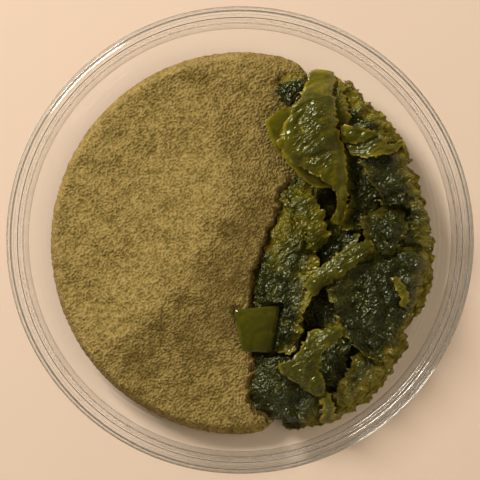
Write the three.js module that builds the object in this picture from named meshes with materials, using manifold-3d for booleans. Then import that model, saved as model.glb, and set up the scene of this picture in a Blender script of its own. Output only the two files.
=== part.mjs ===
// A round flat-bottomed glass dish of knotted wrack. A bank of fine olive-brown meal fills its left two
// thirds and slopes away under a heap of wet, crumpled fronds on the right. Millimetres, +Z up, with the
// origin at the middle of the dish's underside. The heap is at +X, and +Y is away from the viewer.
import * as THREE from "three";
import { mergeVertices } from "three/addons/utils/BufferGeometryUtils.js";
import Module from "manifold-3d";

const wasm = await Module();
wasm.setup();

// The glass dish: a 100 mm by 20 mm dish with a rolled bead round its rim.
const dishRadius = 50;
const dishHeight = 20;
const beadRadius = 1.9;
const wallOuter = 48.9;
const wallInner = 46.5;
const glassFloor = 2.6;
const footFillet = 1;
const innerFillet = 1.8;
const dishSides = 60;

// Pieces that touch are kept this far apart.
const gap = 0.3;
const restingLevel = glassFloor + gap;

// The meal: a round bank with a steep shoulder, a crest left of the middle and a long even slope to the
// right, down to endHeight.
const mealRadius = 42;
const mealMiddle = [0.5, -0.8];
const mealStar = [-13, -2];
const mealEnd = 13.5;
const mealEndSlant = 0.1;
const shoulderHeight = 4;
const crestHeight = 7;
const endHeight = 2.2;
const mealCells = 26;

// The heap's lowest layer: a crumpled mat of fronds, spread over the floor beside the meal.
const matStar = [26, -2];
const matMiddle = [2, -2.5];
const matRadius = 39.4;
const matWest = 11.5;
const matHeight = 1.8;
const matCells = 17;

// Each frond is a sheet of this thickness.
const frondThickness = 0.8;

const colours = {
  glass: { color: 0xdfe9e4, roughness: 0.05, metalness: 0, transparent: true, opacity: 0.35 },
  meal: { color: 0x887140, roughness: 0.95, metalness: 0 },
  dark: { color: 0x2a2a12, roughness: 0.25, metalness: 0 },
  olive: { color: 0x545010, roughness: 0.2, metalness: 0 },
};

// Repeatable rough height in -1..1: hashed values on a unit lattice, eased from one to the next.
function latticeValue(i, j) {
  const s = Math.sin(i * 127.1 + j * 311.7) * 43758.5453;
  return 2 * (s - Math.floor(s)) - 1;
}

function roughness(x, y) {
  const [i, j] = [Math.floor(x), Math.floor(y)];
  const [fx, fy] = [x - i, y - j].map((f) => f * f * (3 - 2 * f));
  const low = THREE.MathUtils.lerp(latticeValue(i, j), latticeValue(i + 1, j), fx);
  const high = THREE.MathUtils.lerp(latticeValue(i, j + 1), latticeValue(i + 1, j + 1), fx);
  return THREE.MathUtils.lerp(low, high, fy);
}

// The smooth curve through a list of rows of numbers (Catmull-Rom), with t from 0 to 1.
function along(rows, t) {
  const last = rows.length - 1;
  const s = THREE.MathUtils.clamp(t, 0, 1) * last;
  const i = Math.min(Math.floor(s), last - 1);
  const f = s - i;
  const [a, b, c, d] = [i - 1, i, i + 1, i + 2].map((k) => rows[THREE.MathUtils.clamp(k, 0, last)]);
  return b.map((_, k) => {
    const square = 2 * a[k] - 5 * b[k] + 4 * c[k] - d[k];
    const cube = 3 * b[k] - a[k] - 3 * c[k] + d[k];
    return b[k] + 0.5 * ((c[k] - a[k]) * f + square * f * f + cube * f * f * f);
  });
}

// Solids
function asGeometry(points, triangles) {
  const geometry = new THREE.BufferGeometry();
  geometry.setAttribute("position", new THREE.Float32BufferAttribute(points.flat(), 3));
  geometry.setIndex(triangles.flat());
  return geometry;
}

function asSolid(geometry) {
  const bare = geometry.clone();
  bare.deleteAttribute("normal");
  bare.deleteAttribute("uv");
  const merged = mergeVertices(bare, 1e-4);
  const vertProperties = new Float32Array(merged.attributes.position.array);
  const triVerts = new Uint32Array(merged.index.array);
  return new wasm.Manifold(new wasm.Mesh({ numProp: 3, vertProperties, triVerts }));
}

// The largest body of a cut solid: loose scraps are dropped.
function largest(solid) {
  return solid.decompose().reduce((best, body) => (body.volume() > best.volume() ? body : best));
}

function fromSolid(solid) {
  const mesh = solid.getMesh();
  const geometry = new THREE.BufferGeometry();
  geometry.setAttribute("position", new THREE.BufferAttribute(new Float32Array(mesh.vertProperties), 3));
  geometry.setIndex(new THREE.BufferAttribute(new Uint32Array(mesh.triVerts), 1));
  return geometry.toNonIndexed();
}

// The dish
function arc(r, z, radius, from, to, steps) {
  return Array.from({ length: steps + 1 }, (_, k) => {
    const angle = THREE.MathUtils.degToRad(from + ((to - from) * k) / steps);
    return new THREE.Vector2(r + radius * Math.cos(angle), z + radius * Math.sin(angle));
  });
}

function dishGeometry() {
  const beadLevel = dishHeight - beadRadius;
  const beadMiddle = dishRadius - beadRadius;
  const profile = [
    new THREE.Vector2(0, 0),
    ...arc(wallOuter - footFillet, footFillet, footFillet, -90, 0, 3),
    ...arc(beadMiddle, beadLevel, beadRadius, -65, 212, 8),
    ...arc(wallInner - innerFillet, glassFloor + innerFillet, innerFillet, 0, -90, 3),
    new THREE.Vector2(0, glassFloor),
  ];
  return new THREE.LatheGeometry(profile, dishSides).rotateX(Math.PI / 2);
}

// The room inside the dish, a gap short of the glass, which everything else is kept within.
function dishRoom() {
  const profile = [
    new THREE.Vector2(0, restingLevel),
    ...arc(wallInner - innerFillet, glassFloor + innerFillet, innerFillet - gap, -90, 0, 3),
    new THREE.Vector2(wallInner - gap, dishHeight + 5),
    new THREE.Vector2(0, dishHeight + 5),
  ];
  return asSolid(new THREE.LatheGeometry(profile, dishSides).rotateX(Math.PI / 2));
}

// Banks and mats: a square grid pressed onto a disc, whose radius follows an outline and whose height
// follows a formula, closed by a rim and a flat underside.
function discPlace(a, b) {
  if (a === 0 && b === 0) return [0, 0];
  const quarter = Math.PI / 4;
  return Math.abs(a) > Math.abs(b)
    ? [Math.abs(a), (a < 0 ? Math.PI : 0) + (quarter * b) / a]
    : [Math.abs(b), (b < 0 ? -1 : 1) * 2 * quarter - (quarter * a) / b];
}

function mound({ star, reach, height, cells, underside }) {
  const points = [];
  for (let j = 0; j <= cells; j += 1) {
    for (let i = 0; i <= cells; i += 1) {
      const [share, angle] = discPlace((2 * i) / cells - 1, (2 * j) / cells - 1);
      const distance = share * reach(angle);
      const [x, y] = [star[0] + distance * Math.cos(angle), star[1] + distance * Math.sin(angle)];
      points.push([x, y, height(x, y, share)]);
    }
  }
  const at = (i, j) => j * (cells + 1) + i;
  const triangles = [];
  for (let j = 0; j < cells; j += 1) {
    for (let i = 0; i < cells; i += 1) {
      triangles.push([at(i, j), at(i + 1, j), at(i + 1, j + 1)], [at(i, j), at(i + 1, j + 1), at(i, j + 1)]);
    }
  }
  const steps = Array.from({ length: cells }, (_, k) => k);
  const rim = [
    ...steps.map((k) => at(k, 0)),
    ...steps.map((k) => at(cells, k)),
    ...steps.map((k) => at(cells - k, cells)),
    ...steps.map((k) => at(0, cells - k)),
  ];
  const below = points.length;
  rim.forEach((k) => points.push([points[k][0], points[k][1], underside]));
  const middle = points.length;
  points.push([star[0], star[1], underside]);
  rim.forEach((k, n) => {
    const next = (n + 1) % rim.length;
    triangles.push([k, below + n, below + next], [k, below + next, rim[next]], [middle, below + next, below + n]);
  });
  return asSolid(asGeometry(points, triangles));
}

// Distance from a point to a circle, going out at an angle.
function toCircle(from, centre, radius, angle) {
  const [dx, dy] = [from[0] - centre[0], from[1] - centre[1]];
  const forward = dx * Math.cos(angle) + dy * Math.sin(angle);
  return Math.sqrt(forward * forward + radius * radius - dx * dx - dy * dy) - forward;
}

// Distance from a point to the line that crosses y = 0 at x and leans by slant, or a long way if the
// angle turns from it.
function toLine(from, x, slant, angle) {
  const ahead = (x + slant * from[1] - from[0]) / (Math.cos(angle) - slant * Math.sin(angle));
  return ahead > 0 ? ahead : 1000;
}

// The lesser of two distances, with the corner between them rounded.
function softLeast(a, b) {
  const power = -10;
  return (a ** power + b ** power) ** (1 / power);
}

// The meal's height above the floor: a steep shoulder all round, a crest that bends from top right to
// lower left, ripples that run the same way, and lumps.
function crestPlace(y) {
  return -7 + 0.475 * y - 0.0168 * y * y;
}

function mealHeight(x, y, share, grow) {
  const shoulder = 1 - 0.7 * Math.max(0, (share - 0.94) / 0.06) ** 2;
  const smoothstep = THREE.MathUtils.smoothstep;
  const end = mealEnd + mealEndSlant * y;
  const side = x - crestPlace(y);
  const crest = crestHeight * (1 - 0.5 * smoothstep(y, 0, 28)) * (1 - 0.4 * smoothstep(-y, 8, 32));
  const leftBank = shoulderHeight + crest * Math.exp(-(Math.sqrt(side * side + 16) - 4) / 15);
  const down = Math.min(1, (Math.sqrt(side * side + 9) - 3) / (end - crestPlace(y) - 2.8));
  const rightBank = THREE.MathUtils.lerp(shoulderHeight + crest, endHeight, down);
  const acrossRipples = x * 0.5 + y * 0.85;
  const ripples = 0.22 * Math.sin(acrossRipples * 0.75 + 1.4 * roughness(x * 0.12, y * 0.12));
  const lumps = 0.45 * roughness(x * 0.16 + 7, y * 0.16) + 0.22 * roughness(x * 0.5, y * 0.5 + 3);
  const body = side < 0 ? leftBank : rightBank;
  return restingLevel + grow + 0.5 + (body + (ripples + lumps) * smoothstep(end + 3 - x, 0, 22)) * shoulder;
}

function mealSolid(grow) {
  return mound({
    star: mealStar,
    reach: (angle) => {
      const side = toCircle(mealStar, mealMiddle, mealRadius, angle);
      return grow + softLeast(side, toLine(mealStar, mealEnd, mealEndSlant, angle));
    },
    height: (x, y, share) => mealHeight(x, y, share, grow),
    cells: mealCells,
    underside: restingLevel - grow,
  });
}

// The mat under the fronds: a frilled outline, a domed top and deep sharp-crested wrinkles.
function matReach(angle) {
  const plain = softLeast(toCircle(matStar, matMiddle, matRadius, angle), toLine(matStar, matWest, 0, angle));
  return plain * (1 + 0.035 * Math.sin(13 * angle) * Math.sin(5 * angle + 1)) - 0.6;
}

function matHeightAt(x, y, share) {
  const dome = 1 - share ** 4;
  const wrinkles = 1 - 2 * Math.abs(roughness(x * 0.3 + 2, y * 0.3));
  const creases = 0.5 - Math.abs(roughness(x * 0.7, y * 0.7 + 5));
  return restingLevel + 0.9 + dome * matHeight + (0.8 * wrinkles + 0.5 * creases) * (0.35 + 0.65 * dome);
}

function matSolid() {
  return mound({
    star: matStar,
    reach: matReach,
    height: matHeightAt,
    cells: matCells,
    underside: restingLevel,
  });
}

// Fronds: each is a sheet between two edges. A row holds a point of the left edge, a point of the right
// edge, the height midway between them and how far the sheet leans, in degrees. bend gives how far each
// half curls by its edge, in degrees, up if positive. frill is the height and the number of the waves
// along the edges, and crinkle the height of the folds across the face. The list runs from the top of
// the heap down, and a piece yields to those above it.
const fronds = [
  {
    name: "frond_crown",
    tone: "olive",
    bend: [-26, -60],
    frill: [0.25, 5],
    crinkle: 0.6,
    grid: [18, 8],
    rows: [
      [14.6, 37.3, 21.2, 36.7, 8.4, 0],
      [14.0, 33.1, 20.7, 32.1, 12.0, 0],
      [11.9, 28.9, 20.5, 28.2, 14.8, 0],
      [9.7, 25.0, 21.2, 25.0, 16.0, 0],
      [8.5, 20.3, 22.0, 21.4, 16.0, 0],
      [11.8, 16.2, 22.4, 17.2, 15.3, 0],
      [17.6, 12.9, 22.9, 13.2, 14.2, 0],
      [20.7, 10.1, 23.2, 9.7, 13.0, 0],
      [20.8, 7.3, 23.2, 7.6, 11.2, 0],
      [19.7, 3.8, 21.9, 3.3, 9.0, 0],
    ],
  },
  {
    name: "frond_spear",
    tone: "olive",
    bend: [-52, -48],
    frill: [0.2, 4],
    crinkle: 0.5,
    grid: [12, 4],
    rows: [
      [28.2, -0.1, 29.1, -1.1, 12.6, 0],
      [23.9, -1.0, 26.8, -3.6, 13.5, 0],
      [20.2, -3.4, 23.8, -6.3, 13.9, 0],
      [16.7, -6.4, 20.0, -9.2, 13.7, 0],
      [13.7, -9.6, 15.7, -12.4, 12.4, 0],
    ],
  },
  {
    name: "frond_star",
    tone: "olive",
    bend: [-42, -30],
    frill: [0.25, 4],
    crinkle: 0.5,
    grid: [14, 6],
    rows: [
      [21.4, -18.3, 22.4, -19.2, 11.8, 0],
      [15.9, -19.6, 20.5, -22.6, 13.1, 0],
      [13.6, -22.4, 17.6, -24.2, 13.6, 0],
      [11.5, -25.4, 17.1, -26.9, 13.2, 0],
      [8.1, -27.6, 17.5, -29.0, 12.3, 0],
      [12.7, -31.8, 18.2, -31.2, 11.2, 0],
      [16.1, -34.0, 18.1, -33.7, 9.8, 0],
    ],
  },
  {
    name: "frond_shelf",
    tone: "olive",
    bend: [-35, 20],
    frill: [0.15, 3],
    crinkle: 0.3,
    grid: [8, 4],
    rows: [
      [22.1, 21.2, 21.7, 24.8, 11.6, 0],
      [24.8, 20.9, 24.8, 24.6, 12.8, 0],
      [27.4, 21.8, 27.1, 24.0, 13.0, 0],
      [29.4, 22.9, 29.2, 23.7, 12.2, 0],
    ],
  },
  {
    name: "frond_shelf_outer",
    tone: "olive",
    bend: [20, -40],
    frill: [0.2, 3],
    crinkle: 0.4,
    grid: [10, 4],
    rows: [
      [24.2, 18.2, 22.9, 20.9, 10.8, 0],
      [26.9, 17.9, 26.9, 21.9, 12.2, 0],
      [29.9, 18.2, 29.9, 22.6, 12.5, 0],
      [33.0, 18.7, 32.5, 20.9, 11.6, 0],
      [35.0, 20.2, 35.2, 21.8, 10.2, 0],
    ],
  },
  {
    name: "frond_frill",
    tone: "olive",
    bend: [-45, -40],
    frill: [0.55, 6],
    crinkle: 0.6,
    grid: [14, 6],
    rows: [
      [9.8, 9.3, 10.4, 11.3, 9.4, 0],
      [11.2, 7.5, 14.2, 10.8, 10.8, 0],
      [12.2, 4.6, 16.9, 7.9, 11.4, 0],
      [13.7, 1.4, 18.8, 4.5, 11.2, 0],
      [14.6, -1.3, 19.4, 1.1, 10.6, 0],
      [15.0, -3.1, 17.4, -1.9, 9.6, 0],
    ],
  },
  {
    name: "frond_flap",
    tone: "olive",
    bend: [-10, -36],
    frill: [0.04, 3],
    crinkle: 0.15,
    grid: [8, 6],
    rows: [
      [-1.2, -15.1, 8.7, -14.2, 9.6, 0],
      [-0.9, -17.3, 8.3, -16.7, 10.0, 0],
      [-0.5, -19.9, 7.7, -19.4, 10.0, 0],
      [-0.0, -22.2, 7.2, -22.0, 9.7, 0],
      [0.5, -24.2, 6.7, -24.5, 9.2, 0],
    ],
  },
  {
    name: "frond_curl",
    tone: "olive",
    bend: [-60, -60],
    frill: [0.2, 3],
    crinkle: 0.4,
    grid: [8, 4],
    rows: [
      [32.5, -8.3, 34.0, -7.9, 11.4, 0],
      [33.8, -10.6, 35.6, -9.7, 12.0, 0],
      [34.7, -12.5, 36.6, -12.4, 11.9, 0],
      [34.2, -14.2, 36.0, -14.7, 11.0, 0],
    ],
  },
  {
    name: "frond_south_tip",
    tone: "olive",
    bend: [-50, -50],
    frill: [0.3, 4],
    crinkle: 0.3,
    grid: [8, 4],
    rows: [
      [16.1, -33.1, 18.9, -32.8, 9.6, 0],
      [17.6, -35.6, 20.5, -35.2, 9.4, 0],
      [17.8, -37.7, 20.8, -37.5, 8.0, 0],
      [17.1, -40.1, 20.0, -40.0, 6.0, 0],
    ],
  },
  {
    name: "frond_crown_back",
    tone: "olive",
    bend: [-20, -40],
    frill: [0.3, 4],
    crinkle: 0.5,
    grid: [10, 4],
    rows: [
      [20.0, 36.6, 23.2, 34.2, 7.6, 0],
      [19.0, 32.8, 23.0, 31.6, 9.8, 0],
      [19.6, 29.1, 23.6, 28.1, 10.8, 0],
      [20.8, 24.7, 24.1, 24.3, 10.2, 0],
    ],
  },
  {
    name: "frond_under_blade",
    tone: "olive",
    bend: [12, -25],
    frill: [0.18, 3],
    crinkle: 0.2,
    grid: [12, 6],
    rows: [
      [9.1, 28.7, 13.7, 29.1, 11.4, 0],
      [5.6, 25.6, 14.9, 26.1, 12.1, 0],
      [6.6, 21.9, 16.4, 21.6, 12.3, 0],
      [8.4, 18.6, 18.6, 18.0, 12.0, 0],
      [12.2, 14.7, 21.1, 14.7, 11.5, 0],
      [15.7, 11.4, 22.5, 11.2, 10.4, 0],
    ],
  },
  {
    name: "frond_west_tip",
    tone: "dark",
    bend: [-45, -45],
    frill: [0.35, 4],
    crinkle: 0.5,
    grid: [6, 4],
    rows: [
      [9.2, 35.6, 13.0, 36.9, 7.8, 0],
      [8.1, 33.9, 14.6, 34.6, 9.0, 0],
      [8.6, 31.9, 14.2, 32.2, 9.5, 0],
      [8.9, 29.3, 13.4, 29.5, 9.2, 0],
    ],
  },
  {
    name: "frond_hook",
    tone: "dark",
    bend: [38, -34],
    frill: [0.35, 5],
    crinkle: 1.0,
    grid: [12, 6],
    rows: [
      [28.9, 6.4, 35.0, 7.1, 9.4, 0],
      [26.1, 4.8, 36.5, 4.5, 10.8, 0],
      [25.9, 2.9, 36.1, 1.7, 11.4, 0],
      [26.8, 0.2, 34.9, -1.0, 11.2, 0],
      [27.3, -2.2, 32.8, -3.4, 10.4, 0],
    ],
  },
  {
    name: "frond_mid_lobe",
    tone: "dark",
    bend: [-48, 18],
    frill: [0.5, 7],
    crinkle: 1.25,
    grid: [14, 6],
    rows: [
      [10.7, 14.0, 16.6, 14.3, 8.4, 0],
      [9.4, 9.8, 15.6, 8.9, 8.8, 0],
      [8.9, 6.2, 16.4, 4.4, 9.0, 0],
      [6.9, 1.9, 17.4, 0.2, 9.4, 0],
      [5.6, -2.8, 17.1, -3.7, 9.8, 0],
      [3.3, -7.6, 16.2, -8.2, 10.0, 0],
      [2.2, -12.5, 14.7, -13.3, 9.8, 0],
      [2.6, -16.7, 13.3, -17.4, 9.2, 0],
      [3.9, -21.2, 12.8, -21.5, 8.4, 0],
      [5.4, -24.5, 11.9, -24.8, 7.4, 0],
    ],
  },
  {
    name: "frond_east",
    tone: "dark",
    bend: [30, -38],
    frill: [0.5, 7],
    crinkle: 1.35,
    grid: [14, 8],
    rows: [
      [28.0, -2.2, 40.3, -1.2, 8.6, 0],
      [23.6, -4.9, 41.4, -5.2, 10.2, 0],
      [19.4, -9.5, 40.5, -8.9, 10.8, 0],
      [19.6, -13.1, 39.5, -11.8, 10.9, 0],
      [21.1, -17.2, 37.0, -16.2, 10.6, 0],
      [23.0, -21.5, 34.7, -20.2, 9.9, 0],
      [26.6, -24.6, 33.5, -24.4, 8.8, 0],
      [30.1, -26.5, 32.4, -26.6, 7.4, 0],
    ],
  },
  {
    name: "frond_east_upper",
    tone: "dark",
    bend: [34, -42],
    frill: [0.5, 7],
    crinkle: 1.35,
    grid: [12, 8],
    rows: [
      [27.4, 20.0, 35.1, 20.0, 8.0, 0],
      [26.0, 17.5, 37.2, 16.6, 9.6, 0],
      [27.3, 14.2, 38.3, 13.3, 10.6, 0],
      [29.0, 10.9, 39.1, 9.7, 10.8, 0],
      [30.7, 7.6, 39.9, 6.2, 10.2, 0],
      [29.8, 3.8, 40.9, 2.0, 9.2, 0],
      [28.0, -0.4, 41.2, -2.2, 8.0, 0],
      [26.2, -3.7, 39.9, -5.3, 7.0, 0],
    ],
  },
  {
    name: "frond_north",
    tone: "dark",
    bend: [-25, -48],
    frill: [0.45, 6],
    crinkle: 1.1,
    grid: [12, 6],
    rows: [
      [22.5, 35.0, 24.6, 34.1, 5.8, 0],
      [22.4, 29.8, 27.1, 30.8, 8.4, 0],
      [23.6, 24.7, 29.9, 27.1, 9.4, 0],
      [27.7, 21.5, 32.8, 23.4, 9.0, 0],
      [31.5, 18.5, 35.8, 19.9, 7.2, 0],
    ],
  },
  {
    name: "frond_south",
    tone: "dark",
    bend: [-48, -35],
    frill: [0.5, 6],
    crinkle: 1.25,
    grid: [12, 6],
    rows: [
      [4.8, -21.8, 11.3, -22.1, 7.0, 0],
      [3.6, -24.8, 12.5, -25.1, 8.0, 0],
      [3.5, -28.3, 14.2, -28.3, 8.7, 0],
      [3.0, -32.3, 17.9, -32.2, 9.0, 0],
      [3.3, -35.9, 20.1, -35.7, 8.0, 0],
      [5.8, -38.7, 19.6, -38.2, 6.8, 0],
      [10.1, -40.4, 17.3, -39.9, 5.4, 0],
    ],
  },
  {
    name: "frond_south_east",
    tone: "dark",
    bend: [20, -40],
    frill: [0.45, 6],
    crinkle: 1.1,
    grid: [10, 5],
    rows: [
      [29.3, -23.2, 33.8, -24.2, 6.6, 0],
      [25.1, -25.2, 31.7, -27.8, 8.0, 0],
      [23.1, -28.7, 28.9, -30.8, 8.2, 0],
      [20.9, -31.9, 25.7, -34.0, 7.4, 0],
      [19.6, -35.5, 22.7, -36.8, 5.8, 0],
    ],
  },
  {
    name: "frond_inner_north",
    tone: "dark",
    bend: [35, -30],
    frill: [0.4, 5],
    crinkle: 0.9,
    grid: [9, 4],
    rows: [
      [22.8, 23.0, 28.3, 23.0, 8.0, 0],
      [22.4, 18.8, 28.6, 18.8, 8.8, 0],
      [22.6, 14.3, 30.1, 14.3, 9.0, 0],
      [22.9, 9.8, 31.1, 9.8, 8.8, 0],
      [22.7, 5.9, 29.9, 5.6, 8.4, 0],
      [21.2, 2.3, 27.7, 2.0, 7.8, 0],
    ],
  },
  {
    name: "frond_inner_middle",
    tone: "dark",
    bend: [-35, 35],
    frill: [0.4, 5],
    crinkle: 0.9,
    grid: [10, 4],
    rows: [
      [16.3, 4.4, 26.8, 3.8, 7.4, 0],
      [16.6, 0.2, 25.9, -0.4, 7.8, 0],
      [15.6, -4.6, 23.7, -5.2, 7.9, 0],
      [14.7, -9.5, 21.8, -10.1, 7.9, 0],
      [13.8, -14.3, 22.2, -14.6, 7.6, 0],
      [13.2, -18.8, 23.7, -19.1, 7.0, 0],
    ],
  },
  {
    name: "frond_inner_south",
    tone: "dark",
    bend: [30, -30],
    frill: [0.35, 4],
    crinkle: 0.8,
    grid: [7, 4],
    rows: [
      [15.1, -21.3, 24.4, -21.6, 6.2, 0],
      [15.1, -24.9, 23.8, -25.5, 6.6, 0],
      [15.1, -29.1, 22.8, -29.7, 6.4, 0],
      [16.3, -33.3, 21.3, -33.6, 6.0, 0],
    ],
  },
  {
    name: "frond_margin_north",
    tone: "olive",
    bend: [-8, -12],
    frill: [0.5, 13],
    crinkle: 0.4,
    grid: [18, 2],
    rows: [
      [15.4, 34.6, 15.0, 37.1, 5.2, 0],
      [18.9, 33.6, 19.3, 36.1, 5.0, 0],
      [22.0, 31.0, 23.6, 33.6, 4.6, 0],
      [24.8, 28.6, 27.4, 31.0, 4.6, 0],
      [27.9, 25.6, 30.6, 27.9, 4.6, 0],
      [30.4, 22.3, 33.5, 24.3, 4.6, 0],
      [32.9, 18.6, 36.3, 20.4, 4.6, 0],
      [34.6, 15.9, 38.3, 17.0, 4.4, 0],
    ],
  },
  {
    name: "frond_margin_east",
    tone: "olive",
    bend: [-8, -12],
    frill: [0.5, 14],
    crinkle: 0.4,
    grid: [16, 2],
    rows: [
      [35.1, 15.6, 38.2, 15.9, 4.4, 0],
      [36.6, 10.5, 40.2, 10.3, 4.6, 0],
      [38.0, 3.8, 41.5, 3.5, 4.6, 0],
      [38.5, -2.9, 42.6, -2.3, 4.6, 0],
      [38.3, -7.1, 42.1, -7.1, 4.6, 0],
      [37.3, -11.9, 41.2, -11.9, 4.6, 0],
      [35.2, -16.5, 39.0, -17.1, 4.4, 0],
    ],
  },
  {
    name: "frond_margin_south",
    tone: "olive",
    bend: [-8, -12],
    frill: [0.5, 14],
    crinkle: 0.4,
    grid: [16, 2],
    rows: [
      [33.5, -19.2, 37.7, -21.0, 4.4, 0],
      [30.1, -24.3, 34.6, -27.5, 4.6, 0],
      [26.0, -28.7, 30.7, -32.5, 4.6, 0],
      [21.8, -32.2, 26.4, -36.5, 4.6, 0],
      [17.3, -34.9, 21.4, -39.2, 4.6, 0],
      [12.9, -37.1, 15.4, -40.9, 4.6, 0],
      [8.9, -38.6, 9.7, -41.7, 4.4, 0],
    ],
  },
];

// How full a sheet's width is at u: rounded off at both ends and uneven along each edge, the more so the
// more ragged the sheet is.
function fullness(u, seed, ragged) {
  const near = Math.min(1, Math.min(u, 1 - u) / 0.14);
  return 1 - 0.55 * ragged * (1 - Math.sqrt(1 - (1 - near) ** 2)) + 0.07 * ragged * roughness(u * 9, seed);
}

// The place on a frond's middle face, u from 0 to 1 along it and v from -1 to 1 across it.
function frondPlace(frond, u, v) {
  const [leftX, leftY, rightX, rightY, level, lean] = along(frond.rows, u);
  const half = Math.hypot(rightX - leftX, rightY - leftY) / 2;
  const side = v < 0 ? 0 : 1;
  const bend = THREE.MathUtils.degToRad(frond.bend[side]);
  const turn = bend * Math.abs(v);
  const full = fullness(u, frond.rows.length + 5 * side, Math.min(1, 3 * frond.frill[0]));
  const out = (full * Math.sign(v) * Math.sin(turn)) / Math.sin(bend);
  const x = THREE.MathUtils.lerp(leftX, rightX, (1 + out) / 2);
  const y = THREE.MathUtils.lerp(leftY, rightY, (1 + out) / 2);
  const [frillHeight, frillWaves] = frond.frill;
  const frill = frillHeight * v * v * Math.sin(2 * Math.PI * frillWaves * u + 2 * side);
  const wrinkle = frond.crinkle * (0.5 - Math.abs(roughness(x * 0.32 + 9, y * 0.32 + v)));
  const curl = (half * (1 - Math.cos(turn))) / Math.sin(bend);
  const tilt = half * v * Math.tan(THREE.MathUtils.degToRad(lean));
  return new THREE.Vector3(x, y, level + curl + tilt + frill + wrinkle);
}

// A frond as a closed sheet. grow thickens it and pushes its edges out, to cut what has to keep clear.
function frondSolid(frond, grow) {
  const [nu, nv] = frond.grid;
  const at = (i, j) => i * (nv + 1) + j;
  const middle = [];
  for (let i = 0; i <= nu; i += 1) {
    for (let j = 0; j <= nv; j += 1) middle.push(frondPlace(frond, i / nu, (2 * j) / nv - 1));
  }
  const clamp = THREE.MathUtils.clamp;
  const upper = [];
  const lower = [];
  for (let i = 0; i <= nu; i += 1) {
    for (let j = 0; j <= nv; j += 1) {
      const before = middle[at(clamp(i - 1, 0, nu), j)];
      const after = middle[at(clamp(i + 1, 0, nu), j)];
      const left = middle[at(i, clamp(j - 1, 0, nv))];
      const right = middle[at(i, clamp(j + 1, 0, nv))];
      const forward = after.clone().sub(before).normalize();
      const across = right.clone().sub(left).normalize();
      const normal = across.clone().cross(forward).normalize();
      const edge = middle[at(i, j)].clone();
      if (i === 0) edge.addScaledVector(forward, -grow);
      if (i === nu) edge.addScaledVector(forward, grow);
      if (j === 0) edge.addScaledVector(across, -grow);
      if (j === nv) edge.addScaledVector(across, grow);
      const half = frondThickness / 2 + grow;
      upper.push(edge.clone().addScaledVector(normal, half).toArray());
      lower.push(edge.clone().addScaledVector(normal, -half).toArray());
    }
  }
  const count = upper.length;
  const triangles = [];
  const quad = (a, b, c, d) => triangles.push([a, b, c], [a, c, d]);
  for (let i = 0; i < nu; i += 1) {
    for (let j = 0; j < nv; j += 1) {
      const [a, b, c, d] = [at(i, j), at(i, j + 1), at(i + 1, j + 1), at(i + 1, j)];
      quad(a, b, c, d);
      triangles.push([count + a, count + c, count + b], [count + a, count + d, count + c]);
    }
  }
  for (let i = 0; i < nu; i += 1) {
    quad(at(i, 0), at(i + 1, 0), count + at(i + 1, 0), count + at(i, 0));
    quad(at(i + 1, nv), at(i, nv), count + at(i, nv), count + at(i + 1, nv));
  }
  for (let j = 0; j < nv; j += 1) {
    quad(at(0, j + 1), at(0, j), count + at(0, j), count + at(0, j + 1));
    quad(at(nu, j), at(nu, j + 1), count + at(nu, j + 1), count + at(nu, j));
  }
  return asSolid(asGeometry([...upper, ...lower], triangles));
}

// Assembly
const dishOfWrack = new THREE.Group();

function addPiece(name, geometry, colour) {
  const mesh = new THREE.Mesh(geometry, new THREE.MeshStandardMaterial(colours[colour]));
  mesh.name = name;
  dishOfWrack.add(mesh);
}

addPiece("dish", dishGeometry(), "glass");

const room = dishRoom();
const placed = [];
for (const frond of fronds) {
  const whole = frondSolid(frond, 0).intersect(room);
  const clear = placed.reduce((piece, above) => piece.subtract(above), whole);
  addPiece(frond.name, fromSolid(largest(clear)), frond.tone);
  placed.push(frondSolid(frond, gap).add(whole));
}

const meal = placed.reduce((piece, above) => piece.subtract(above), mealSolid(0).intersect(room));
addPiece("meal", fromSolid(largest(meal)), "meal");

const over = [...placed, mealSolid(gap)];
const mat = over.reduce((piece, above) => piece.subtract(above), matSolid().intersect(room));
addPiece("frond_mat", fromSolid(largest(mat)), "dark");

export default dishOfWrack;
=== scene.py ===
# %% [markdown]
# # A glass dish of knotted wrack meal
# A shallow glass dish stands on a pale table. Fine olive-brown meal fills its left two thirds in a low
# bank. A heap of wet, crumpled seaweed fronds fills the rest. Every surface here is a whole array of
# points worked out by a formula, so that any frond can be bent by changing a few numbers in its table.
# Lengths are in millimetres until a mesh is made, where they become metres.

import numpy as np
import bpy
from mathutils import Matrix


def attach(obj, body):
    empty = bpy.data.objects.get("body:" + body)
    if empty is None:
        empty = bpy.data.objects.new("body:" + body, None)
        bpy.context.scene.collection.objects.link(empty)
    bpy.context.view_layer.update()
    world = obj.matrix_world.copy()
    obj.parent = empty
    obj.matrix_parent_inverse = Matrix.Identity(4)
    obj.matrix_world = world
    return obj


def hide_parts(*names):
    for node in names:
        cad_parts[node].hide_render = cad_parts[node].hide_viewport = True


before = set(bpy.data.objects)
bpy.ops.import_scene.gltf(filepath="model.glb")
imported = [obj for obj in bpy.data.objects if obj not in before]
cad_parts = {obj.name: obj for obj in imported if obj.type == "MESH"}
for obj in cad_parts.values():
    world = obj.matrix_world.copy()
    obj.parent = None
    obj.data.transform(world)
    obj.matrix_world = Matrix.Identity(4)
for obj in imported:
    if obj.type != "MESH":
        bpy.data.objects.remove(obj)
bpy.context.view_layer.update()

# %% [markdown]
# ## Sizes
# The dish is 100 mm across and 20 mm high, and places are measured from its middle. The outline of the meal
# is a circle round MEAL_MIDDLE, cut off by a slanting line under the fronds. The outline of the mat is a
# circle round MAT_MIDDLE, cut off just past the meal. A star is the point that an outline is drawn from.
# Both lie at RESTING_LEVEL, 0.3 mm above the glass floor and clear of the rings in it.

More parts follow.
